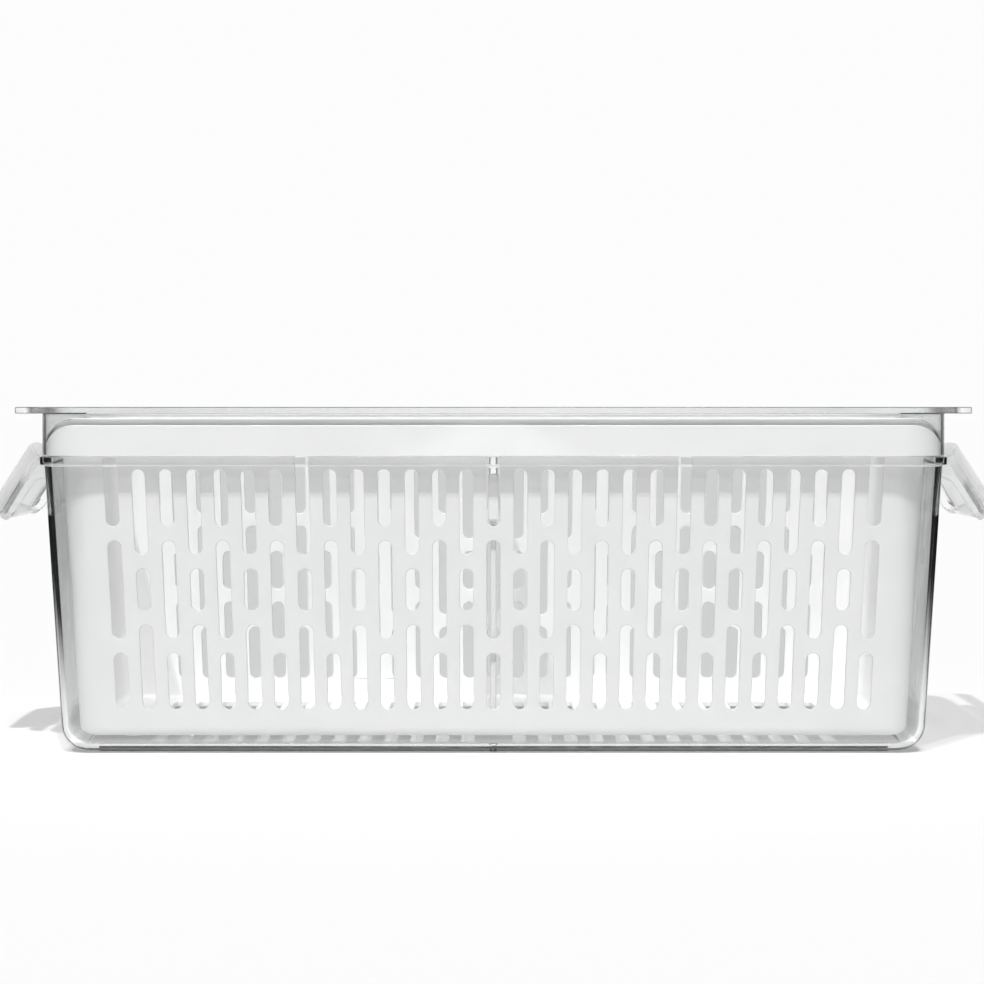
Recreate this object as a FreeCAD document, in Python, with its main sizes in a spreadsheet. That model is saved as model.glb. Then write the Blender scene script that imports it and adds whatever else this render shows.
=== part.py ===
import FreeCAD, Part
import math
import os

import Sketcher

# Produce keeper for a refrigerator shelf: a clear bin with a bowed handle at each end, a white slotted
# basket that hangs in it, a divider that drops into the basket's notches, and a deep clear lid.
# Millimetres, +Z up. The origin is the middle of the bin's underside and the long way runs along X.

Vector = FreeCAD.Vector

SIZES = {
    # Clear bin
    "bin_length": 326.2,  # over the rim, without the handles
    "bin_width": 160.0,  # over the rim
    "bin_height": 106.3,  # up to the top of the rim
    "bin_wall": 2.3,
    "bin_floor": 2.5,
    "draft": 3.5,  # degrees, of every upright wall
    "corner_radius": 19.0,  # of the rim, seen from above
    "floor_radius": 10.0,  # outside, where the walls turn into the floor
    "rim_lip": 1.5,  # how far the rim stands out from the wall
    "rim_height": 3.3,
    "gate_radius": 1.1,  # nub at the front of the underside, where the plastic entered the mould
    "gate_inset": 6.0,  # from the front of the underside
    "gate_lift": 0.2,  # end of the nub above the counter
    # Handles
    "handle_width": 82.0,
    "handle_slope": 57.4,  # degrees, of the grip below the level
    "handle_bulge": 9.1,  # how far the middle of the grip stands out from a flat plate
    "handle_start": 3.3,  # from the rim to the grip, at the ends of the handle
    "handle_length": 27.6,  # of the grip, down its slope
    "handle_wall": 1.8,
    "handle_edge": 4.4,  # depth of the edge that is turned in all round the grip
    "handle_corner": 6.0,  # lower corners of the grip
    "tip_depth": 10.4,  # of the wall that closes the grip's tip, at its middle
    "tip_width": 66.0,  # of that wall
    "handle_root": 17.0,  # how far the handle's top runs in, to meet the bin's wall
    "handle_brow": 2.0,  # rounding where the handle's top turns down
    "web_wall": 1.8,  # webs that close the ends of the handle
    "web_drop": 9.2,  # lower edge of the webs below the top of the rim
    "web_bend": 5.0,  # rounding where the webs' lower edge turns down along the grip
    # Basket
    "basket_gap": 3.9,  # between the basket's walls and the bin's
    "basket_wall": 2.0,
    "basket_floor": 2.0,
    "basket_corner": 14.5,  # of its upper edge, seen from above
    "basket_edge": 4.0,  # outside, where the walls turn into the floor
    "drain_gap": 3.0,  # between the bin's floor and the basket's
    "foot_radius": 3.0,
    "foot_clearance": 0.3,  # the shoulder carries the basket, so its feet stay just clear
    "foot_inset": 18.0,  # from the ends and sides of the basket's underside
    "shoulder": 2.0,  # thickness of the ledge that hangs on the rim
    "collar_wall": 2.6,
    "collar_height": 13.6,  # above the rim
    "collar_round": 12.0,  # upper corners of the collar, seen from the front
    "groove_width": 1.7,  # upright
    "groove_depth": 2.1,
    "groove_inset": 0.8,  # upright, between the groove and the collar's edge
    # Slots
    "slot_width": 4.8,
    "slot_end_margin": 18.6,  # from the ends of a long wall to the middle of its last columns
    "slot_fan": 0.85,  # share of the walls' draft that the columns follow
    "slot_columns": 14,  # on each side of the middle of a long wall
    "end_columns": 4,  # on each side of the middle of an end wall
    "slot_top_margin": 4.7,  # below the rim
    "slot_bottom_margin": 10.0,  # above the basket's underside
    "slot_land": 5.2,  # wall left between two slots of a column
    "even_land": 20.2,  # lands of the even columns, above and below the middle of the slotted field
    "odd_land": 10.1,  # the same for the odd columns
    "notch_step": 7,  # every seventh column is a notch for the divider
    "spine": 12.0,  # unslotted strip along the middle of the floor
    "floor_margin": 16.0,  # between the floor slots and the sides of the basket's underside
    # Divider
    "divider_wall": 2.0,
    "divider_gap": 0.5,  # between the divider and the basket's walls
    "divider_drop": 6.4,  # below the rim
    "divider_corner": 2.0,  # rounded upper corners
    "tab_wall": 3.6,
    "tab_height": 16.3,
    # Lid
    "lid_height": 17.5,  # above the rim
    "lid_plate": 2.3,
    "lid_tab": 7.3,  # end of the plate beyond the rim
    "lid_ledge": 0.4,  # side of the plate beyond the rim
    "lid_corner": 8.0,  # of the plate, seen from above
    "lid_lip": 0.9,  # depth of the stiffening strip under the plate's sides
    "skirt_inset": 1.0,  # between the rim's outer face and the skirt's
    "skirt_wall": 1.0,
    "skirt_gap": 0.2,  # between the skirt and the basket's collar
}

doc = FreeCAD.newDocument("produce_keeper")
sheet = doc.addObject("Spreadsheet::Sheet", "sizes")
for row, (name, number) in enumerate(SIZES.items(), 1):
    sheet.set("A%d" % row, name)
    sheet.set("B%d" % row, str(number))
    sheet.setAlias("B%d" % row, name)
doc.recompute()


def value(expression):
    """The number that an expression on the sheet comes to."""
    result = sheet.evalExpression(expression)
    return float(getattr(result, "Value", result))


# Sizes and levels that several pieces share
LEAN = "tan(sizes.draft)"
WALL_LENGTH = "(sizes.bin_length - 2 * sizes.rim_lip)"
WALL_WIDTH = "(sizes.bin_width - 2 * sizes.rim_lip)"
WALL_CORNER = "(sizes.corner_radius - sizes.rim_lip)"
BASKET_BASE = "(sizes.bin_floor + sizes.drain_gap)"
BASKET_INSET = "(sizes.bin_wall + sizes.basket_gap)"
BASKET_LENGTH = f"({WALL_LENGTH} - 2 * {BASKET_INSET})"
BASKET_WIDTH = f"({WALL_WIDTH} - 2 * {BASKET_INSET})"
COLLAR_INSET = "(sizes.skirt_inset + sizes.skirt_wall + sizes.skirt_gap)"
COLLAR_LENGTH = f"(sizes.bin_length - 2 * {COLLAR_INSET})"
COLLAR_WIDTH = f"(sizes.bin_width - 2 * {COLLAR_INSET})"
COLLAR_CORNER = f"(sizes.corner_radius - {COLLAR_INSET})"
COLLAR_TOP = "(sizes.bin_height + sizes.collar_height)"
BASKET_INSIDE_BASE = f"({BASKET_BASE} + sizes.basket_floor)"
SLOT_PITCH = f"(({BASKET_LENGTH} - 2 * sizes.slot_end_margin) / (2 * sizes.slot_columns))"
SKIRT_LENGTH = "(sizes.bin_length - 2 * sizes.skirt_inset)"
SKIRT_WIDTH = "(sizes.bin_width - 2 * sizes.skirt_inset)"
SKIRT_CORNER = "(sizes.corner_radius - sizes.skirt_inset)"
LID_UNDERSIDE = "(sizes.bin_height + sizes.lid_height - sizes.lid_plate)"

# Radius and angle of the grips' bow, the top edge at the middle of a grip, and the start of its tip wall
GRIP_BOW = "((sizes.handle_width ^ 2 / 4 + sizes.handle_bulge ^ 2) / (2 * sizes.handle_bulge))"
GRIP_ANGLE = f"(2 * asin(sizes.handle_width / (2 * {GRIP_BOW})))"
BROW_X = "(sizes.bin_length / 2 + sizes.handle_start + sizes.handle_bulge * sin(sizes.handle_slope))"
BROW_Z = "(sizes.bin_height + sizes.handle_bulge * cos(sizes.handle_slope))"
GRIP_LIP = "(sizes.handle_length - sizes.handle_wall)"


def drawn_in(size, level, faces=2):
    """A length across drafted walls at a level below the rim, given that length at the rim."""
    return f"({size} - {faces} * (sizes.bin_height - {level}) * {LEAN})"


def body_named(name):
    body = doc.addObject("PartDesign::Body", name)
    body.Label = name
    return body


def origin_plane(body, role):
    return next(item for item in body.Origin.OriginFeatures if item.Role == role)


def sketch_on(body, name, role, level="0"):
    """An empty sketch on one of the body's origin planes, or level with it."""
    sketch = body.newObject("Sketcher::SketchObject", name)
    sketch.AttachmentSupport = [(origin_plane(body, role), "")]
    sketch.MapMode = "FlatFace"
    sketch.setExpression("AttachmentOffset.Base.z", level)
    return sketch


def bind(sketch, name, constraint, expression):
    """Adds a named dimension whose value follows the sheet."""
    index = sketch.addConstraint(constraint)
    sketch.renameConstraint(index, name)
    sketch.setExpression("Constraints." + name, expression)


def rounded_rectangle(sketch, name, length, width, radius):
    """Adds a rectangle with round corners, centred on the sketch's origin."""
    half_x = value(length) / 2
    half_y = value(width) / 2
    bend = value(radius)
    first = sketch.GeometryCount
    corners = [(half_x, -half_y), (half_x, half_y), (-half_x, half_y), (-half_x, -half_y)]
    for turn, (x, y) in enumerate(corners):
        previous_x, previous_y = corners[turn - 1]
        along = Vector(x - previous_x, y - previous_y).normalize() * bend
        line = Part.LineSegment(Vector(previous_x, previous_y) + along, Vector(x, y) - along)
        sketch.addGeometry(line)
    for turn, (x, y) in enumerate(corners):
        centre = Vector(x - math.copysign(bend, x), y - math.copysign(bend, y))
        start = math.radians(90 * turn - 90)
        circle = Part.Circle(centre, Vector(0, 0, 1), bend)
        sketch.addGeometry(Part.ArcOfCircle(circle, start, start + math.radians(90)))
    lines = [first + turn for turn in range(4)]
    arcs = [first + 4 + turn for turn in range(4)]
    for turn in range(4):
        sketch.addConstraint(Sketcher.Constraint("Tangent", lines[turn], 2, arcs[turn], 1))
        sketch.addConstraint(Sketcher.Constraint("Tangent", arcs[turn], 2, lines[turn - 3], 1))
        level = "Vertical" if turn % 2 else "Horizontal"
        sketch.addConstraint(Sketcher.Constraint(level, lines[turn]))
    for arc in arcs[1:]:
        sketch.addConstraint(Sketcher.Constraint("Equal", arcs[0], arc))
    sketch.addConstraint(Sketcher.Constraint("Symmetric", arcs[0], 3, arcs[2], 3, -1, 1))
    bind(sketch, name + "_radius", Sketcher.Constraint("Radius", arcs[0], bend), radius)
    across = Sketcher.Constraint("DistanceX", lines[3], 1, lines[1], 1, 2 * half_x)
    bind(sketch, name + "_length", across, length)
    along = Sketcher.Constraint("DistanceY", lines[0], 1, lines[2], 1, 2 * half_y)
    bind(sketch, name + "_width", along, width)


def round_spot(sketch, name, x, y, radius):
    """Adds a circle whose centre and radius follow the sheet."""
    centre = Vector(value(x), value(y))
    bend = value(radius)
    circle = sketch.addGeometry(Part.Circle(centre, Vector(0, 0, 1), bend))
    bind(sketch, name + "_radius", Sketcher.Constraint("Radius", circle, bend), radius)
    bind(sketch, name + "_x", Sketcher.Constraint("DistanceX", -1, 1, circle, 3, centre.x), x)
    bind(sketch, name + "_y", Sketcher.Constraint("DistanceY", -1, 1, circle, 3, centre.y), y)


def outline(sketch, corners):
    """Adds a closed outline through corners that follow the sheet: x, y, and a radius where it is round."""
    first = sketch.GeometryCount
    count = len(corners)
    points = [Vector(value(corner[0]), value(corner[1])) for corner in corners]
    radii = [value(corner[2]) if len(corner) > 2 else 0 for corner in corners]
    ends = [trimmed(points, radii, turn) for turn in range(count)]
    for turn in range(count):
        sketch.addGeometry(Part.LineSegment(ends[turn][1], ends[(turn + 1) % count][0]))
    for turn, (corner, point) in enumerate(zip(corners, points)):
        before = first + (turn - 1) % count
        after = first + turn
        mark = sketch.addGeometry(Part.Point(point), True)
        name = "corner_%d" % mark
        bind(sketch, name + "_x", Sketcher.Constraint("DistanceX", -1, 1, mark, 1, point.x), corner[0])
        bind(sketch, name + "_y", Sketcher.Constraint("DistanceY", -1, 1, mark, 1, point.y), corner[1])
        if not radii[turn]:
            sketch.addConstraint(Sketcher.Constraint("Coincident", before, 2, mark, 1))
            sketch.addConstraint(Sketcher.Constraint("Coincident", after, 1, mark, 1))
            continue
        from_point, to_point, centre = ends[turn]
        turns_left = (point - from_point).cross(to_point - point).z > 0
        ordered = (from_point, to_point) if turns_left else (to_point, from_point)
        start, stop = (math.atan2(end.y - centre.y, end.x - centre.x) for end in ordered)
        stop += 2 * math.pi if stop < start else 0
        circle = Part.Circle(centre, Vector(0, 0, 1), radii[turn])
        arc = sketch.addGeometry(Part.ArcOfCircle(circle, start, stop))
        entry, leave = (1, 2) if turns_left else (2, 1)
        sketch.addConstraint(Sketcher.Constraint("PointOnObject", mark, 1, before))
        sketch.addConstraint(Sketcher.Constraint("PointOnObject", mark, 1, after))
        sketch.addConstraint(Sketcher.Constraint("Tangent", before, 2, arc, entry))
        sketch.addConstraint(Sketcher.Constraint("Tangent", arc, leave, after, 1))
        bind(sketch, name + "_radius", Sketcher.Constraint("Radius", arc, radii[turn]), corner[2])


def trimmed(points, radii, turn):
    """Where the rounding of a corner starts and ends, and the centre of its arc."""
    corner = points[turn]
    radius = radii[turn]
    if not radius:
        return corner, corner, corner
    back = (points[turn - 1] - corner).normalize()
    ahead = (points[(turn + 1) % len(points)] - corner).normalize()
    half = back.getAngle(ahead) / 2
    reach = radius / math.tan(half)
    centre = corner + (back + ahead).normalize() * (radius / math.sin(half))
    return corner + back * reach, corner + ahead * reach, centre


def pad(body, name, sketch, length, taper=None, midplane=False, down=False):
    feature = body.newObject("PartDesign::Pad", name)
    feature.Profile = sketch
    feature.setExpression("Length", length)
    if taper:
        feature.setExpression("TaperAngle", taper)
    feature.Midplane = midplane
    feature.Reversed = down
    doc.recompute()
    return feature


def hollow(body, name, sketch, length):
    """Cuts upwards from the sketch, opening out with the draft."""
    feature = body.newObject("PartDesign::Pocket", name)
    feature.Profile = sketch
    feature.setExpression("Length", length)
    feature.setExpression("TaperAngle", "sizes.draft")
    feature.Reversed = True
    doc.recompute()
    return feature


def fillet(body, name, base, chosen, radius):
    """Rounds the edges of the base feature for which chosen is true."""
    edges = ["Edge%d" % number for number, edge in enumerate(base.Shape.Edges, 1) if chosen(edge)]
    feature = body.newObject("PartDesign::Fillet", name)
    feature.Base = (base, edges)
    feature.setExpression("Radius", radius)
    doc.recompute()
    return feature


def lies_at(level):
    """Tells whether an edge lies flat at a level."""
    height = value(level)

    def chosen(edge):
        box = edge.BoundBox
        return abs(box.ZMin - height) < 1e-3 and abs(box.ZMax - height) < 1e-3

    return chosen


def lies_beyond(distance, length):
    """Tells whether an edge is straight, of a length, and further out along X than a distance."""
    wanted = value(length)

    def chosen(edge):
        straight = edge.Curve.TypeId == "Part::GeomLine"
        box = edge.BoundBox
        outer = min(abs(box.XMin), abs(box.XMax)) > distance
        return straight and outer and abs(edge.Length - wanted) < 1e-3

    return chosen


def make_bin():
    body = body_named("bin")
    add_handles(body)

    foot = sketch_on(body, "bin_foot", "XY_Plane")
    rounded_rectangle(
        foot,
        "foot",
        drawn_in(WALL_LENGTH, "0"),
        drawn_in(WALL_WIDTH, "0"),
        drawn_in(WALL_CORNER, "0", 1),
    )
    pad(body, "bin_walls", foot, "sizes.bin_height", "sizes.draft")

    rim_base = "sizes.bin_height - sizes.rim_height"
    rim = sketch_on(body, "bin_rim_outline", "XY_Plane", rim_base)
    rounded_rectangle(rim, "rim", "sizes.bin_length", "sizes.bin_width", "sizes.corner_radius")
    pad(body, "bin_rim", rim, "sizes.rim_height")

    inside = sketch_on(body, "bin_inside_outline", "XY_Plane", "sizes.bin_floor")
    rounded_rectangle(
        inside,
        "inside",
        drawn_in(f"({WALL_LENGTH} - 2 * sizes.bin_wall)", "sizes.bin_floor"),
        drawn_in(f"({WALL_WIDTH} - 2 * sizes.bin_wall)", "sizes.bin_floor"),
        drawn_in(f"({WALL_CORNER} - sizes.bin_wall)", "sizes.bin_floor", 1),
    )
    space = hollow(body, "bin_inside", inside, "sizes.bin_height")
    at_floor = lies_at("sizes.bin_floor")
    edge = fillet(body, "bin_inside_edge", space, at_floor, "sizes.floor_radius - sizes.bin_wall")
    edge = fillet(body, "bin_floor_edge", edge, lies_at("0"), "sizes.floor_radius")
    round_grips(body, edge)

    gate = sketch_on(body, "gate_outline", "XY_Plane", "sizes.gate_lift")
    gate_place = f"({drawn_in(WALL_WIDTH, '0')} / 2 - sizes.gate_inset)"
    round_spot(gate, "gate", "0", f"-{gate_place}", "sizes.gate_radius")
    pad(body, "gate_mark", gate, "sizes.bin_floor - sizes.gate_lift")
    return body


def grip_spot(down, inwards):
    """A place at the middle of a handle, down the slope from its top and in from its outer face."""
    x = f"({BROW_X} + ({down}) * cos(sizes.handle_slope) - ({inwards}) * sin(sizes.handle_slope))"
    z = f"({BROW_Z} - ({down}) * sin(sizes.handle_slope) - ({inwards}) * cos(sizes.handle_slope))"
    return x, z


def turned(body, kind, name, corners, angle):
    """Turns an outline in the upright middle plane about the grip's axis, the same way to both sides."""
    profile = sketch_on(body, name + "_outline", "XZ_Plane")
    outline(profile, corners)
    axis = [grip_spot("0", GRIP_BOW), grip_spot("sizes.handle_length", GRIP_BOW)]
    points = [Vector(value(x), value(z)) for x, z in axis]
    line = profile.addGeometry(Part.LineSegment(*points), True)
    for end, (point, (x, z)) in enumerate(zip(points, axis), 1):
        bind(profile, "axis_x_%d" % end, Sketcher.Constraint("DistanceX", -1, 1, line, end, point.x), x)
        bind(profile, "axis_z_%d" % end, Sketcher.Constraint("DistanceY", -1, 1, line, end, point.y), z)
    feature = body.newObject(kind, name)
    feature.Profile = profile
    feature.ReferenceAxis = (profile, ["Axis0"])
    feature.setExpression("Angle", angle)
    feature.Midplane = True
    doc.recompute()
    return feature


def tip_wall(body):
    """The wall that closes the tip of a grip, straight below and cut to the grip's curve above."""
    sketch = sketch_on(body, "tip_outline", "XZ_Plane")
    section = [
        grip_spot(GRIP_LIP, "sizes.handle_wall"),
        grip_spot("sizes.handle_length", "sizes.handle_wall"),
        grip_spot("sizes.handle_length", "sizes.tip_depth"),
        grip_spot(GRIP_LIP, "sizes.tip_depth"),
    ]
    outline(sketch, section)
    wall = pad(body, "tip_wall", sketch, "sizes.tip_width", midplane=True)
    above = f"({GRIP_LIP} - sizes.handle_wall)"
    past = "(sizes.handle_length + sizes.handle_wall)"
    outside = [
        grip_spot(above, "0"),
        grip_spot(past, "0"),
        grip_spot(past, "-sizes.tip_depth"),
        grip_spot(above, "-sizes.tip_depth"),
    ]
    curve = turned(body, "PartDesign::Groove", "tip_curve", outside, GRIP_ANGLE)
    return wall, curve


def bowed_grip(body):
    """The top and the grip of a handle with an edge turned in all round, and the room for fingers behind it.

    The webs at its ends run in to the bin's wall.
    """
    web_start = "(sizes.web_drop - sizes.handle_edge * cos(sizes.handle_slope)) / sin(sizes.handle_slope)"
    web_end = "(sizes.web_drop - sizes.handle_wall * sin(sizes.handle_slope)) / cos(sizes.handle_slope)"
    section = [
        grip_spot("0", "sizes.handle_root"),
        (*grip_spot("0", "0"), "sizes.handle_brow"),
        grip_spot("sizes.handle_length", "0"),
        grip_spot("sizes.handle_length", "sizes.handle_edge"),
        (*grip_spot(web_start, "sizes.handle_edge"), "sizes.web_bend"),
        grip_spot("sizes.handle_wall", web_end),
        grip_spot("sizes.handle_wall", "sizes.handle_root"),
    ]
    grip = turned(body, "PartDesign::Revolution", "grip", section, GRIP_ANGLE)
    room = [
        grip_spot("sizes.handle_wall", "sizes.handle_root"),
        grip_spot("sizes.handle_wall", "sizes.handle_wall"),
        grip_spot(GRIP_LIP, "sizes.handle_wall"),
        grip_spot(GRIP_LIP, "sizes.handle_root"),
    ]
    between_webs = f"{GRIP_ANGLE} - 2 * asin(sizes.web_wall / {GRIP_BOW})"
    hold = turned(body, "PartDesign::Groove", "finger_room", room, between_webs)
    return grip, hold


def add_handles(body):
    """A sloping grip at each end, bowed round a sloping axis, so that its middle stands out and up."""
    features = [*tip_wall(body), *bowed_grip(body)]
    pair = body.newObject("PartDesign::Mirrored", "handles")
    pair.Originals = features
    pair.MirrorPlane = (origin_plane(body, "YZ_Plane"), [""])
    body.Tip = pair
    doc.recompute()


def round_grips(body, base):
    """Rounds the lower corners of the grips, first on the fingers' side, so that the wall stays whole."""
    beyond = value("sizes.bin_length / 2 + sizes.handle_start")
    depth = "sizes.handle_edge - sizes.handle_wall"
    inner_radius = "sizes.handle_corner - sizes.handle_wall"
    inside = fillet(body, "finger_room_corners", base, lies_beyond(beyond, depth), inner_radius)
    fillet(body, "grip_corners", inside, lies_beyond(beyond, "sizes.handle_edge"), "sizes.handle_corner")


def make_basket():
    body = body_named("basket_moulding")
    foot = sketch_on(body, "basket_foot", "XY_Plane", BASKET_BASE)
    rounded_rectangle(
        foot,
        "foot",
        drawn_in(BASKET_LENGTH, BASKET_BASE),
        drawn_in(BASKET_WIDTH, BASKET_BASE),
        drawn_in("sizes.basket_corner", BASKET_BASE, 1),
    )
    pad(body, "basket_walls", foot, f"sizes.bin_height - {BASKET_BASE}", "sizes.draft")

    shoulder = sketch_on(body, "shoulder_outline", "XY_Plane", "sizes.bin_height")
    rounded_rectangle(shoulder, "shoulder", COLLAR_LENGTH, COLLAR_WIDTH, COLLAR_CORNER)
    pad(body, "shoulder", shoulder, "sizes.shoulder")

    collar = sketch_on(body, "collar_outline", "XY_Plane", "sizes.bin_height")
    rounded_rectangle(collar, "outer", COLLAR_LENGTH, COLLAR_WIDTH, COLLAR_CORNER)
    rounded_rectangle(
        collar,
        "inner",
        f"{COLLAR_LENGTH} - 2 * sizes.collar_wall",
        f"{COLLAR_WIDTH} - 2 * sizes.collar_wall",
        f"{COLLAR_CORNER} - sizes.collar_wall",
    )
    pad(body, "collar", collar, "sizes.collar_height")

    inside = sketch_on(body, "basket_inside_outline", "XY_Plane", BASKET_INSIDE_BASE)
    rounded_rectangle(
        inside,
        "inside",
        drawn_in(f"({BASKET_LENGTH} - 2 * sizes.basket_wall)", BASKET_INSIDE_BASE),
        drawn_in(f"({BASKET_WIDTH} - 2 * sizes.basket_wall)", BASKET_INSIDE_BASE),
        drawn_in("(sizes.basket_corner - sizes.basket_wall)", BASKET_INSIDE_BASE, 1),
    )
    depth = f"sizes.bin_height + sizes.shoulder - {BASKET_INSIDE_BASE}"
    space = hollow(body, "basket_inside", inside, depth)
    at_floor = lies_at(BASKET_INSIDE_BASE)
    edge = fillet(body, "basket_inside_edge", space, at_floor, "sizes.basket_edge - sizes.basket_wall")
    fillet(body, "basket_floor_edge", edge, lies_at(BASKET_BASE), "sizes.basket_edge")
    add_feet(body)

    openings = doc.addObject("Part::Feature", "basket_openings")
    cutters = all_wall_slots() + floor_slots() + collar_ends() + collar_groove()
    openings.Shape = Part.makeCompound(cutters)
    basket = doc.addObject("Part::Cut", "basket")
    basket.Base = body
    basket.Tool = openings
    basket.Label = "basket"
    doc.recompute()
    return basket


def add_feet(body):
    """Four round feet, which hold the basket off the counter when it is lifted out."""
    feet = sketch_on(body, "feet_outline", "XY_Plane", BASKET_BASE)
    place_x = f"({drawn_in(BASKET_LENGTH, BASKET_BASE)} / 2 - sizes.foot_inset)"
    place_y = f"({drawn_in(BASKET_WIDTH, BASKET_BASE)} / 2 - sizes.foot_inset)"
    for side_x in ("-", ""):
        for side_y in ("-", ""):
            name = "foot_%d" % feet.GeometryCount
            round_spot(feet, name, side_x + place_x, side_y + place_y, "sizes.foot_radius")
    pad(body, "feet", feet, "sizes.drain_gap - sizes.foot_clearance", down=True)


def pill(start, end, width, depth):
    """A prism with round ends, from one end of its middle line to the other, pushed along depth."""
    axis = (end - start).normalize()
    side = depth.cross(axis).normalize() * (width / 2)
    tip = axis * (width / 2)
    outline = Part.Wire(
        [
            Part.LineSegment(start + side, end + side).toShape(),
            Part.Arc(end + side, end + tip, end - side).toShape(),
            Part.LineSegment(end - side, start - side).toShape(),
            Part.Arc(start - side, start - tip, start + side).toShape(),
        ]
    )
    return Part.Face(outline).extrude(depth)


def slot_levels(column):
    """The lower and upper ends of a column's slots, from the bottom up."""
    rim = value("sizes.bin_height")
    low = value(f"{BASKET_BASE} + sizes.slot_bottom_margin")
    high = rim - value("sizes.slot_top_margin")
    middle = (low + high) / 2
    offset = value("sizes.odd_land") if column % 2 else value("sizes.even_land")
    half_land = value("sizes.slot_land") / 2
    edges = [low]
    for land in (middle - offset, middle + offset):
        edges += [land - half_land, land + half_land]
    edges.append(high)
    return list(zip(edges[::2], edges[1::2]))


def fan(column, half_size, level):
    """How far a column stands from the middle: the columns close up downwards as the wall narrows."""
    at_rim = column * value(SLOT_PITCH)
    drawn = (value("sizes.bin_height") - level) * value(f"sizes.slot_fan * {LEAN}")
    return at_rim * (half_size - drawn) / half_size


def wall_slots(columns, run, half_run, inward, face, notched):
    """Slots through one wall, which runs along run and has its outer face this far out at the rim.

    In a notch the top slot runs out through the shoulder, so that the divider's tab drops in from above.
    """
    width = value("sizes.slot_width")
    drawn = value(f"(sizes.bin_height - {BASKET_BASE}) * {LEAN}")
    through = inward * (value("sizes.basket_wall") + drawn + width)
    up = Vector(0, 0, 1)
    cutters = []
    for column in range(-columns, columns + 1):
        levels = slot_levels(column)
        if notched and column % int(value("sizes.notch_step")) == 0:
            bottom, _ = levels[-1]
            levels[-1] = (bottom, value("sizes.bin_height + sizes.shoulder") + width)
        for bottom, top in levels:
            low = bottom + width / 2
            high = top - width / 2
            start = run * fan(column, half_run, low) + up * low - inward * face
            end = run * fan(column, half_run, high) + up * high - inward * face
            cutters.append(pill(start, end, width, through))
    return cutters


def all_wall_slots():
    half_length = value(BASKET_LENGTH) / 2
    half_width = value(BASKET_WIDTH) / 2
    long_columns = int(value("sizes.slot_columns"))
    end_columns = int(value("sizes.end_columns"))
    along = Vector(1, 0, 0)
    across = Vector(0, 1, 0)
    cutters = []
    for side in (-1, 1):
        cutters += wall_slots(long_columns, along, half_length, across * side, half_width, True)
        cutters += wall_slots(end_columns, across, half_width, along * side, half_length, False)
    return cutters


def floor_slots():
    """Drain slots in line with the columns of the long walls, with a plain strip under the divider."""
    width = value("sizes.slot_width")
    half_length = value(BASKET_LENGTH) / 2
    base = value(BASKET_BASE)
    inner = (value("sizes.spine") + width) / 2
    outer = value(f"{drawn_in(BASKET_WIDTH, BASKET_BASE)} / 2 - sizes.floor_margin") - width / 2
    up = Vector(0, 0, value("sizes.basket_floor"))
    columns = int(value("sizes.slot_columns"))
    cutters = []
    for column in range(-columns + 1, columns):
        if column:
            x = fan(column, half_length, base)
            for side in (-1, 1):
                start = Vector(x, side * inner, base)
                end = Vector(x, side * outer, base)
                cutters.append(pill(start, end, width, up))
    return cutters


def rounded_block(length, width, radius, bottom, top):
    """An upright block with round corners, centred on the origin."""
    block = Part.makeBox(length, width, top - bottom, Vector(-length / 2, -width / 2, bottom))
    upright = [edge for edge in block.Edges if edge.BoundBox.ZLength > (top - bottom) / 2]
    return block.makeFillet(radius, upright)


def collar_arch(drop):
    """A block across the whole basket, with the collar's outline from the front, its top lower by drop."""
    length = value(COLLAR_LENGTH)
    width = value(COLLAR_WIDTH)
    bottom = value("sizes.bin_height - sizes.collar_round")
    top = value(COLLAR_TOP) - drop
    block = Part.makeBox(length, width, top - bottom, Vector(-length / 2, -width / 2, bottom))
    upper = [
        edge
        for edge in block.Edges
        if edge.BoundBox.ZMin > top - 1e-3 and edge.BoundBox.YLength > width / 2
    ]
    return block.makeFillet(value("sizes.collar_round"), upper)


def collar_ends():
    """What is cut away above the collar's round corners, down to the shoulder at the ends."""
    length = value(COLLAR_LENGTH)
    width = value(COLLAR_WIDTH)
    bottom = value("sizes.bin_height + sizes.shoulder")
    height = value(COLLAR_TOP) - bottom
    block = Part.makeBox(length, width, height, Vector(-length / 2, -width / 2, bottom))
    return block.cut(collar_arch(0)).Solids


def collar_groove():
    """A groove round the collar's outer face, just below its edge, which runs out at the ends."""
    length = value(COLLAR_LENGTH)
    width = value(COLLAR_WIDTH)
    corner = value(COLLAR_CORNER)
    depth = value("sizes.groove_depth")
    bottom = value("sizes.bin_height + sizes.shoulder")
    top = value(COLLAR_TOP)
    outer = rounded_block(length, width, corner, bottom, top)
    inner = rounded_block(length - 2 * depth, width - 2 * depth, corner - depth, bottom, top)
    inset = value("sizes.groove_inset")
    band = collar_arch(inset).cut(collar_arch(inset + value("sizes.groove_width")))
    return outer.cut(inner).common(band).Solids


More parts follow.
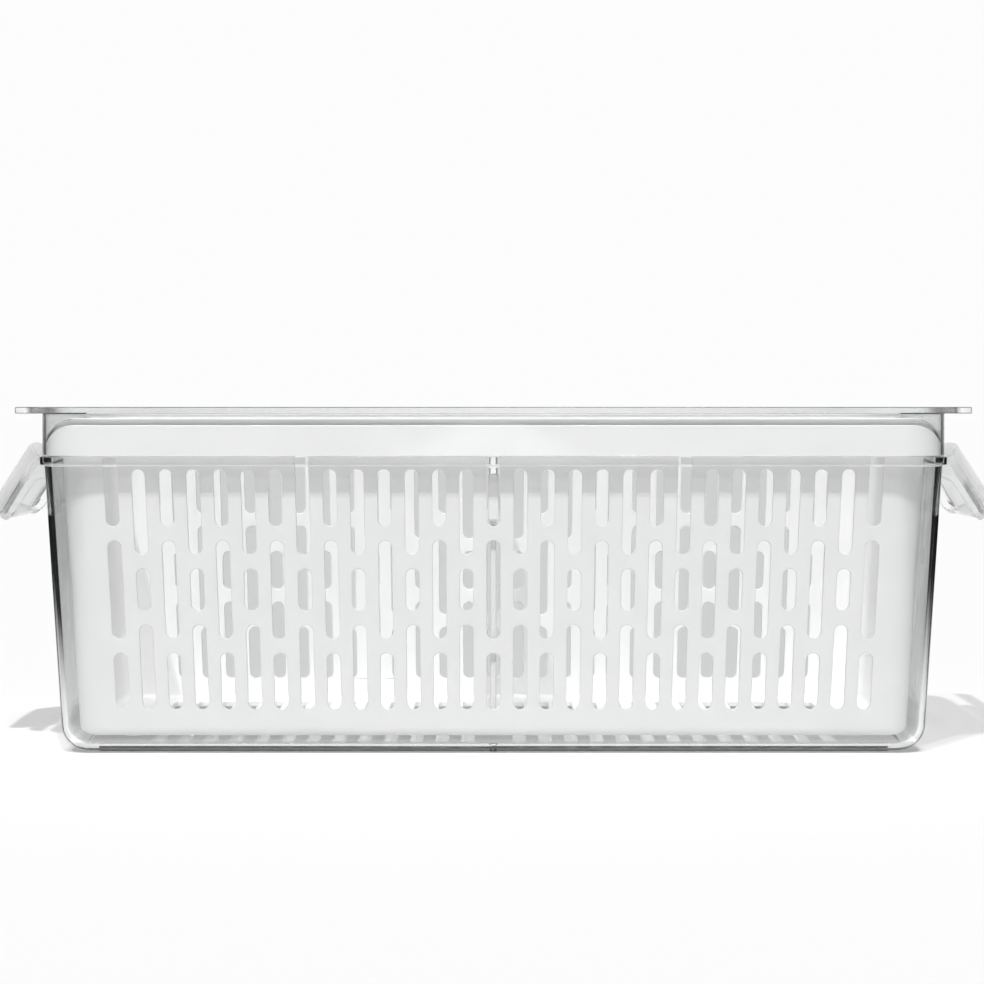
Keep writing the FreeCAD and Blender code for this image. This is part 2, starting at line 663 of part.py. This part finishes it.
def make_divider():
    """A plate across the basket that stands on its floor, with a tab for the notch in each long wall."""
    body = body_named("divider")
    top = "(sizes.bin_height - sizes.divider_drop)"
    inside = f"({BASKET_WIDTH} - 2 * sizes.basket_wall - 2 * sizes.divider_gap)"
    half_low = f"({drawn_in(inside, BASKET_INSIDE_BASE)} / 2)"
    half_high = f"({drawn_in(inside, top)} / 2)"
    side_view = sketch_on(body, "divider_outline", "YZ_Plane")
    outline(
        side_view,
        [
            (f"-{half_low}", BASKET_INSIDE_BASE, "sizes.basket_edge"),
            (half_low, BASKET_INSIDE_BASE, "sizes.basket_edge"),
            (half_high, top, "sizes.divider_corner"),
            (f"-{half_high}", top, "sizes.divider_corner"),
        ],
    )
    pad(body, "divider_plate", side_view, "sizes.divider_wall", midplane=True)

    tab_low = f"({top} - sizes.tab_height)"
    reach = f"({drawn_in(BASKET_WIDTH, tab_low)} / 2 - sizes.divider_gap)"
    root = f"({drawn_in(inside, tab_low)} / 2 - sizes.tab_wall)"
    tabs = sketch_on(body, "tabs_outline", "YZ_Plane")
    for side in ("", "-"):
        corners = [(root, tab_low), (reach, tab_low), (reach, top), (root, top)]
        outline(tabs, [(side + y, z) for y, z in corners])
    pad(body, "tabs", tabs, "sizes.tab_wall", midplane=True)
    return body


def make_lid():
    """A flat plate that overhangs the ends as lifting tabs, on a skirt that stands on the rim."""
    body = body_named("lid")
    length = "(sizes.bin_length + 2 * sizes.lid_tab)"
    width = "(sizes.bin_width + 2 * sizes.lid_ledge)"
    plate = sketch_on(body, "plate_outline", "XY_Plane", LID_UNDERSIDE)
    rounded_rectangle(plate, "plate", length, width, "sizes.lid_corner")
    pad(body, "plate", plate, "sizes.lid_plate")

    skirt = sketch_on(body, "skirt_outline", "XY_Plane", "sizes.bin_height")
    rounded_rectangle(skirt, "outer", SKIRT_LENGTH, SKIRT_WIDTH, SKIRT_CORNER)
    rounded_rectangle(
        skirt,
        "inner",
        f"{SKIRT_LENGTH} - 2 * sizes.skirt_wall",
        f"{SKIRT_WIDTH} - 2 * sizes.skirt_wall",
        f"{SKIRT_CORNER} - sizes.skirt_wall",
    )
    pad(body, "skirt", skirt, "sizes.lid_height - sizes.lid_plate")

    lips = sketch_on(body, "lips_outline", "XY_Plane", LID_UNDERSIDE)
    end = f"({SKIRT_LENGTH} / 2 - {SKIRT_CORNER})"
    inner = f"({SKIRT_WIDTH} / 2 - sizes.skirt_wall)"
    outer = f"({width} / 2)"
    for side in ("", "-"):
        corners = [(f"-{end}", inner), (end, inner), (end, outer), (f"-{end}", outer)]
        outline(lips, [(x, side + y) for x, y in corners])
    pad(body, "lips", lips, "sizes.lid_lip", down=True)
    return body


pieces = [make_bin(), make_basket(), make_divider(), make_lid()]
doc.recompute()

failed = [item.Label for item in doc.Objects if {"Invalid", "Error"} & set(item.State)]
for piece in pieces:
    shape = piece.Shape
    if shape.isNull() or not shape.isValid() or len(shape.Solids) != 1:
        failed.append(piece.Label)
if failed:
    raise RuntimeError("failed: " + ", ".join(failed))

os.makedirs("parts", exist_ok=True)
for piece in pieces:
    piece.Shape.exportStep("parts/%s.step" % piece.Label)
    box = piece.Shape.BoundBox
    print(piece.Label, [round(size, 2) for size in (box.XLength, box.YLength, box.ZMin, box.ZMax)])
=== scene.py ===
import math

import bpy
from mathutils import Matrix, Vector


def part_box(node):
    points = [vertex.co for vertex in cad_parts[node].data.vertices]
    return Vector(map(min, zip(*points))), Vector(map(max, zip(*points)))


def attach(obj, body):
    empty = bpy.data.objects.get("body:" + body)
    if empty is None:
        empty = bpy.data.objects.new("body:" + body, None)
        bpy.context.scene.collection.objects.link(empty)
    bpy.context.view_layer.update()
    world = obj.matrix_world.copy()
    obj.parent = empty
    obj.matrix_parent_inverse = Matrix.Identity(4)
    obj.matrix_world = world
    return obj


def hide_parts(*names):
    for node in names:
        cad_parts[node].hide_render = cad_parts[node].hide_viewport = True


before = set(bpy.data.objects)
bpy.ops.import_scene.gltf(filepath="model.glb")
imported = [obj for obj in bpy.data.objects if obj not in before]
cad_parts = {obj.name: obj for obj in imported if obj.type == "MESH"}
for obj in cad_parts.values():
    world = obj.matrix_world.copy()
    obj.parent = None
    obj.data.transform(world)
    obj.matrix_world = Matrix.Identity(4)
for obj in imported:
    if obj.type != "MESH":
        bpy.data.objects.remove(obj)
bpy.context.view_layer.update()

# Sizes of the mouldings' finish, in metres
MERGE = 2e-6
HAIR = 0.00012
BIN_ROUND = 0.0005
WHITE_ROUND = 0.0004
LID_ROUND = 0.0003
RIM_HEIGHT = 0.0033
EDGE_DEPTH = 0.0008
FOOT_HEIGHT = 0.007

# Faces that meet at less than FLAT become one, and edges sharper than SHARP are rounded off
FLAT = math.radians(0.3)
SHARP = math.radians(28)

# Clear plastic: how dull the lid's edge and the pale ends are, and how much of those ends shows as plastic
EDGE_FROST = 0.24
END_FROST = 0.22
END_SOLID = 0.6

# The share of light that goes straight through each part of the clear plastic, and the share of soft light
BIN_PASSES = 0.81
LID_PASSES = 0.96
THICK_PASSES = 0.15
GRIP_PASSES = 0.98
SOFT_PASSES = 0.99

# Places on the pieces. The rim's top is where the basket hangs and the lid stands
RIM_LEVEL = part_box("lid")[0].z
PLATE_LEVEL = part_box("lid")[1].z - 0.0023
WALL_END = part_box("basket")[1].x + 0.003
SKIRT_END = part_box("basket")[1].x - 0.0012
LEFT_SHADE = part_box("bin")[1].x - 0.0065
RIGHT_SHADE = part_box("bin")[1].x - 0.018
STANDS_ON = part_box("basket")[1] - Vector((0.004, 0.008, 0))

# Camera: level with the lid's top and a little over a metre in front of the bin
CAMERA_PLACE = (-0.0005, -1.21, 0.1231)
CAMERA_TILT = math.radians(1.49)
CAMERA_LENS = 116.8

# Studio: two lamps in front and above, a fill from all round, and a strip of white paper
# that runs under the bin and up behind it, with a dark room on both sides of it
MAIN_LAMP = Vector((0.07, -0.74, 1.0))
MAIN_STRENGTH = 1.72
SIDE_LAMP = Vector((-0.29, -0.74, 1.0))
SIDE_STRENGTH = 1.32
LAMP_ANGLE = math.radians(1.0)
FILL_LEVEL = 0.08
FILL_TOP = 0.56
PAPER_WHITE = 0.98
PAPER_NEAR = 0.16
PAPER_FAR = 0.55
ROOM_DARK = 0.015
FLOOR_SIZE = 60
FLOOR_DROP = 0.0003

# Under the bin, painted light and shade on the paper: a painted glow for the light that its walls carry
# there, a painted shadow as a dark line where its front edge meets the paper, and painted dimming to the
# paper's light left after two clear walls
PAINTED_UNDER_GLOW = 0.4
CONTACT = 0.0612
CONTACT_WIDTH = 0.0033
CONTACT_SOFT = 0.0004
CONTACT_END = 0.142
PAINTED_WALLS_SHARE = 0.72

# Limits half-way between whole counts of a ray's turns and of the faces that it has passed
ONE_TURN = 0.5
TWO_TURNS = 1.5
FOUR_FACES = 3.5


def select_only(piece):
    bpy.ops.object.select_all(action="DESELECT")
    piece.select_set(True)
    bpy.context.view_layer.objects.active = piece


def softened(node, name, width, segments=2, seat=None):
    """A merged copy of a moulding, with its edges rounded off as a mould leaves them.

    The points at the level of the seat, where it stands on clear plastic, rise by a hair.
    """
    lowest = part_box(node)[0].z
    piece = bpy.data.objects.new(name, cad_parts[node].data.copy())
    bpy.context.scene.collection.objects.link(piece)
    select_only(piece)
    bpy.ops.object.mode_set(mode="EDIT")
    bpy.ops.mesh.select_all(action="SELECT")
    bpy.ops.mesh.remove_doubles(threshold=MERGE)
    bpy.ops.mesh.customdata_custom_splitnormals_clear()
    bpy.ops.mesh.dissolve_limited(angle_limit=FLAT)
    bpy.ops.object.mode_set(mode="OBJECT")
    if seat is not None:
        for point in piece.data.vertices:
            if abs(point.co.z - seat) < MERGE:
                point.co.z += HAIR
    bevel = piece.modifiers.new("soft_edges", "BEVEL")
    bevel.width = width
    bevel.segments = segments
    bevel.limit_method = "ANGLE"
    bevel.angle_limit = SHARP
    bevel.use_clamp_overlap = False
    bevel.harden_normals = True
    bpy.ops.object.shade_smooth()
    bpy.ops.object.modifier_apply(modifier=bevel.name)
    for point in piece.data.vertices:
        point.co.z = max(point.co.z, lowest)
    return piece


# Small steps that the materials and the world share
def feed(tree, source, socket):
    """Set a socket to a number or colour, or join another node's socket to it."""
    if isinstance(source, bpy.types.NodeSocket):
        tree.links.new(source, socket)
    else:
        socket.default_value = source


def add_node(tree, kind, **inputs):
    node = tree.nodes.new(kind)
    for name, source in inputs.items():
        feed(tree, source, node.inputs[name.replace("_", " ")])
    return node


def worked_out(tree, operation, *terms):
    node = tree.nodes.new("ShaderNodeMath")
    node.operation = operation
    for socket, term in zip(node.inputs, terms):
        feed(tree, term, socket)
    return node.outputs[0]


def between(tree, factor, low, high):
    """Low where the factor is zero, high where it is one."""
    node = tree.nodes.new("ShaderNodeMix")
    node.data_type = "FLOAT"
    for name, source in (("Factor", factor), ("A", low), ("B", high)):
        feed(tree, source, node.inputs[name])
    return node.outputs["Result"]


def eased(tree, source, start, end, low=0.0, high=1.0):
    """A smooth step from low to high as the source goes from start to end."""
    node = tree.nodes.new("ShaderNodeMapRange")
    node.interpolation_type = "SMOOTHSTEP"
    for name, number in (("From Min", start), ("From Max", end), ("To Min", low), ("To Max", high)):
        node.inputs[name].default_value = number
    tree.links.new(source, node.inputs["Value"])
    return node.outputs["Result"]


def within(tree, source, start, end, soft):
    """One where the source lies between start and end, with soft limits."""
    rise = eased(tree, source, start, start + soft)
    fall = eased(tree, source, end - soft, end, 1.0, 0.0)
    return worked_out(tree, "MULTIPLY", rise, fall)


def most_of(tree, first, *others):
    """The largest of several values."""
    most = first
    for other in others:
        most = worked_out(tree, "MAXIMUM", most, other)
    return most


def new_material(name):
    material = bpy.data.materials.new(name)
    material.use_nodes = True
    return material, material.node_tree


def show_mixed(tree, factor, first, second):
    """Show the first shader where the factor is zero, and the second where it is one."""
    mix = add_node(tree, "ShaderNodeMixShader", Fac=factor)
    feed(tree, first.outputs[0], mix.inputs[1])
    feed(tree, second.outputs[0], mix.inputs[2])
    feed(tree, mix.outputs[0], tree.nodes["Material Output"].inputs["Surface"])


def at_plate_edge(tree, parts):
    """One at the outer edge of the lid's plate, which the mould leaves a little dull."""
    edges = []
    for name, limit in zip(("X", "Y"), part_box("lid")[1]):
        out = worked_out(tree, "ABSOLUTE", parts.outputs[name])
        edges.append(eased(tree, out, limit - EDGE_DEPTH, limit - EDGE_DEPTH / 2))
    above = eased(tree, parts.outputs["Z"], RIM_LEVEL, RIM_LEVEL + EDGE_DEPTH)
    return worked_out(tree, "MULTIPLY", above, most_of(tree, *edges))


def light_passed(tree, parts, path, along, passed_straight):
    """The share of light that goes straight through.

    The thick rim, the rounded foot and the inner part of the grips turn most of it aside.
    """
    height = parts.outputs["Z"]
    rim_middle = RIM_LEVEL - RIM_HEIGHT / 2
    over_middle = eased(tree, height, rim_middle, rim_middle + 0.0002)
    under_lid = eased(tree, height, RIM_LEVEL, RIM_LEVEL + 0.0001, 1.0, 0.0)
    in_rim = worked_out(tree, "MULTIPLY", over_middle, under_lid)
    leftwards = worked_out(tree, "MULTIPLY", parts.outputs["X"], -1.0)
    in_left_grip = within(tree, leftwards, WALL_END, LEFT_SHADE, 0.001)
    in_right_grip = within(tree, parts.outputs["X"], WALL_END, RIGHT_SHADE, 0.001)
    in_grip = most_of(tree, in_left_grip, in_right_grip)
    in_foot = eased(tree, height, FOOT_HEIGHT - 0.003, FOOT_HEIGHT, 1.0, 0.0)
    passed = between(tree, most_of(tree, in_rim, in_grip, in_foot), passed_straight, THICK_PASSES)
    past_wall = worked_out(tree, "SUBTRACT", eased(tree, along, WALL_END, WALL_END + 0.001), in_grip)
    passed = between(tree, most_of(tree, past_wall, 0.0), passed, GRIP_PASSES)
    return between(tree, path.outputs["Is Diffuse Ray"], passed, SOFT_PASSES)


def clear_plastic(name, passed_straight, pale_from):
    """Polished clear plastic, with a faint ripple and a few smudges.

    Its thin ends, further out than pale_from, are a little dull and look paler.
    """
    material, tree = new_material(name)
    shader = tree.nodes["Principled BSDF"]
    shader.inputs["Base Color"].default_value = (0.935, 0.945, 0.945, 1)
    shader.inputs["Transmission Weight"].default_value = 1.0
    shader.inputs["IOR"].default_value = 1.5
    place = tree.nodes.new("ShaderNodeTexCoord").outputs["Object"]
    parts = add_node(tree, "ShaderNodeSeparateXYZ", Vector=place)
    along = worked_out(tree, "ABSOLUTE", parts.outputs["X"])

    smudge = add_node(tree, "ShaderNodeTexNoise", Vector=place, Scale=24.0, Detail=4.0)
    rough = eased(tree, smudge.outputs["Fac"], 0.5, 0.75, 0.012, 0.05)
    rough = between(tree, at_plate_edge(tree, parts), rough, EDGE_FROST)
    under_plate = eased(tree, parts.outputs["Z"], PLATE_LEVEL - 0.001, PLATE_LEVEL, 1.0, 0.0)
    at_end = worked_out(tree, "MULTIPLY", under_plate, eased(tree, along, pale_from, pale_from + 0.002))
    feed(tree, between(tree, at_end, rough, END_FROST), shader.inputs["Roughness"])
    feed(tree, between(tree, at_end, 1.0, END_SOLID), shader.inputs["Alpha"])
    ripple = add_node(tree, "ShaderNodeTexNoise", Vector=place, Scale=28.0, Detail=2.0)
    bump = add_node(tree, "ShaderNodeBump", Height=ripple.outputs["Fac"], Strength=0.02, Distance=0.001)
    feed(tree, bump.outputs["Normal"], shader.inputs["Normal"])

    path = tree.nodes.new("ShaderNodeLightPath")
    passed = light_passed(tree, parts, path, along, passed_straight)
    passing = add_node(tree, "ShaderNodeBsdfTransparent", Color=passed)
    straight = most_of(tree, path.outputs["Is Shadow Ray"], path.outputs["Is Diffuse Ray"])
    show_mixed(tree, straight, shader, passing)
    return material


def white_plastic(name):
    """White moulded plastic with a satin surface: faint mottling, fine grain, uneven sheen."""
    material, tree = new_material(name)
    shader = tree.nodes["Principled BSDF"]
    place = tree.nodes.new("ShaderNodeTexCoord").outputs["Object"]
    mottle = add_node(tree, "ShaderNodeTexNoise", Vector=place, Scale=60.0, Detail=3.0)
    tone = tree.nodes.new("ShaderNodeValToRGB")
    tone.color_ramp.elements[0].position = 0.3
    tone.color_ramp.elements[0].color = (0.87, 0.87, 0.865, 1)
    tone.color_ramp.elements[1].position = 0.7
    tone.color_ramp.elements[1].color = (0.9, 0.9, 0.895, 1)
    feed(tree, mottle.outputs["Fac"], tone.inputs["Fac"])
    feed(tree, tone.outputs["Color"], shader.inputs["Base Color"])
    sheen = add_node(tree, "ShaderNodeTexNoise", Vector=place, Scale=35.0, Detail=4.0)
    feed(tree, eased(tree, sheen.outputs["Fac"], 0.3, 0.7, 0.36, 0.48), shader.inputs["Roughness"])
    grain = add_node(tree, "ShaderNodeTexNoise", Vector=place, Scale=1800.0, Detail=2.0)
    bump = add_node(tree, "ShaderNodeBump", Height=grain.outputs["Fac"], Strength=0.05, Distance=0.0002)
    feed(tree, bump.outputs["Normal"], shader.inputs["Normal"])
    return material


def dress(piece, material, node, body):
    """Give a piece its material, and tell the frame what it shows."""
    piece.data.materials.clear()
    piece.data.materials.append(material)
    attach(piece, body)
    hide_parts(node)


def paper_dimness(tree, parts, path, aside, piped_painted_dark):
    """How dark the paper looks to light that has been through the clear plastic.

    Light that has turned back inside it sees the dark room beside the strip. The paper also carries
    painted shade: a painted contact shadow at the bin's front edge, a dark patch under the bin for light
    piped along its floor, and a dimming for light that has passed two walls.
    """
    turned = worked_out(tree, "GREATER_THAN", path.outputs["Glossy Depth"], ONE_TURN)
    in_room = worked_out(tree, "MULTIPLY", turned, eased(tree, aside, PAPER_NEAR, PAPER_FAR))
    before = worked_out(tree, "MULTIPLY", parts.outputs["Y"], -1.0)
    # Painted contact shadow: a dark strip on the paper where the bin's front edge meets it, not shown to
    # camera rays
    painted_contact_shadow = within(tree, before, CONTACT, CONTACT + CONTACT_WIDTH, CONTACT_SOFT)
    painted_contact_shadow = worked_out(tree, "MULTIPLY", painted_contact_shadow, worked_out(tree, "LESS_THAN", aside, CONTACT_END))
    painted_contact_shadow = worked_out(tree, "SUBTRACT", painted_contact_shadow, path.outputs["Is Camera Ray"])
    # Painted shade: the paper seen past four clear faces is dimmed to the share of its light left after
    # two walls
    painted_wall_dimming = worked_out(tree, "GREATER_THAN", path.outputs["Transmission Depth"], FOUR_FACES)
    painted_wall_dimming = worked_out(tree, "MULTIPLY", painted_wall_dimming, 1 - PAINTED_WALLS_SHARE)
    return most_of(tree, in_room, piped_painted_dark, painted_contact_shadow, painted_wall_dimming)


def paper_material():
    """White paper, lit by the lamps, that runs into the white behind it.

    A painted glow on the paper under the basket stands in for the light that the clear bin carries there.
    """
    material, tree = new_material("white_paper")
    shader = tree.nodes["Principled BSDF"]
    shader.inputs["Base Color"].default_value = (0.88, 0.88, 0.88, 1)
    shader.inputs["Roughness"].default_value = 1.0
    shader.inputs["Specular IOR Level"].default_value = 0.0
    shader.inputs["Emission Color"].default_value = (1, 1, 1, 1)
    path = tree.nodes.new("ShaderNodeLightPath")
    place = tree.nodes.new("ShaderNodeTexCoord").outputs["Object"]
    parts = add_node(tree, "ShaderNodeSeparateXYZ", Vector=place)
    aside = worked_out(tree, "ABSOLUTE", parts.outputs["X"])
    across = worked_out(tree, "ABSOLUTE", parts.outputs["Y"])
    in_length = worked_out(tree, "LESS_THAN", aside, STANDS_ON.x)
    in_width = worked_out(tree, "LESS_THAN", across, STANDS_ON.y)
    under = worked_out(tree, "MULTIPLY", in_length, in_width)
    piped = worked_out(tree, "GREATER_THAN", path.outputs["Glossy Depth"], TWO_TURNS)
    outside = most_of(tree, path.outputs["Is Camera Ray"], piped)
    # Painted light: the paper under the bin glows for rays that are neither the camera's nor piped, in
    # place of light the walls carry
    painted_glow = eased(tree, worked_out(tree, "SUBTRACT", under, outside), 0.0, 1.0, 0.0, PAINTED_UNDER_GLOW)
    feed(tree, painted_glow, shader.inputs["Emission Strength"])
    # Painted shade: rays piped along the clear floor see the paper under the bin as dark, which draws the
    # dark line at the bin's foot
    piped_painted_dark = worked_out(tree, "MULTIPLY", piped, under)
    dark = add_node(tree, "ShaderNodeBsdfDiffuse", Color=(ROOM_DARK, ROOM_DARK, ROOM_DARK, 1))
    show_mixed(tree, paper_dimness(tree, parts, path, aside, piped_painted_dark), shader, dark)
    return material


def lay_floor():
    bpy.ops.object.select_all(action="DESELECT")
    bpy.ops.mesh.primitive_plane_add(size=FLOOR_SIZE, location=(0, 0, -FLOOR_DROP))
    floor = bpy.context.object
    floor.name = "floor"
    floor.data.materials.append(paper_material())


def surround_with_studio():
    """White behind for the camera and straight through the plastic, a soft fill from above
    for the surfaces, and for reflections the paper's strip in a dark room."""
    world = bpy.data.worlds.new("studio")
    bpy.context.scene.world = world
    world.use_nodes = True
    world.cycles.sampling_method = "NONE"
    tree = world.node_tree
    path = tree.nodes.new("ShaderNodeLightPath")
    way = tree.nodes.new("ShaderNodeTexCoord").outputs["Generated"]
    parts = add_node(tree, "ShaderNodeSeparateXYZ", Vector=way)
    up = parts.outputs["Z"]

    aside = worked_out(tree, "ABSOLUTE", parts.outputs["X"])
    over_edge = worked_out(tree, "SUBTRACT", aside, worked_out(tree, "MULTIPLY", parts.outputs["Y"], 0.5))
    paper = eased(tree, over_edge, -0.04, 0.04, PAPER_WHITE, ROOM_DARK)
    room = between(tree, eased(tree, up, 0.02, 0.15), paper, 0.9)

    turned = worked_out(tree, "GREATER_THAN", path.outputs["Glossy Depth"], ONE_TURN)
    shown = between(tree, turned, PAPER_WHITE, room)
    fill = eased(tree, up, 0.5, 0.95, FILL_LEVEL, FILL_LEVEL + FILL_TOP)
    shiny = most_of(tree, path.outputs["Is Glossy Ray"], path.outputs["Is Transmission Ray"])
    level = between(tree, most_of(tree, shiny, path.outputs["Is Camera Ray"]), fill, shown)
    feed(tree, level, tree.nodes["Background"].inputs["Strength"])
    tree.nodes["Background"].inputs["Color"].default_value = (1, 1, 1, 1)


def hang_lamp(name, towards, strength):
    bpy.ops.object.select_all(action="DESELECT")
    bpy.ops.object.light_add(type="SUN", location=towards)
    lamp = bpy.context.object
    lamp.name = name
    lamp.data.angle = LAMP_ANGLE
    lamp.data.energy = strength
    lamp.rotation_euler = (-towards).to_track_quat("-Z", "Y").to_euler()


def set_camera():
    camera_data = bpy.data.cameras.new("camera")
    camera = bpy.data.objects.new("camera", camera_data)
    bpy.context.scene.collection.objects.link(camera)
    camera.location = CAMERA_PLACE
    camera.rotation_euler = (math.radians(90) - CAMERA_TILT, 0, 0)
    camera_data.sensor_width = 36
    camera_data.lens = CAMERA_LENS
    camera_data.clip_end = 100
    bpy.context.scene.camera = camera
    bpy.context.scene.view_settings.view_transform = "Standard"


clear_bin = softened("bin", "clear_bin_shell", BIN_ROUND)
dress(clear_bin, clear_plastic("clear_bin", BIN_PASSES, WALL_END), "bin", "bin")
basket = softened("basket", "slotted_basket", WHITE_ROUND, seat=RIM_LEVEL)
dress(basket, white_plastic("white_basket"), "basket", "basket")
divider = softened("divider", "divider_plate", WHITE_ROUND)
dress(divider, white_plastic("white_divider"), "divider", "divider")
lid = softened("lid", "clear_lid_plate", LID_ROUND, seat=RIM_LEVEL)
dress(lid, clear_plastic("clear_lid", LID_PASSES, SKIRT_END), "lid", "lid")

lay_floor()
surround_with_studio()
hang_lamp("main_lamp", MAIN_LAMP, MAIN_STRENGTH)
hang_lamp("side_lamp", SIDE_LAMP, SIDE_STRENGTH)
set_camera()
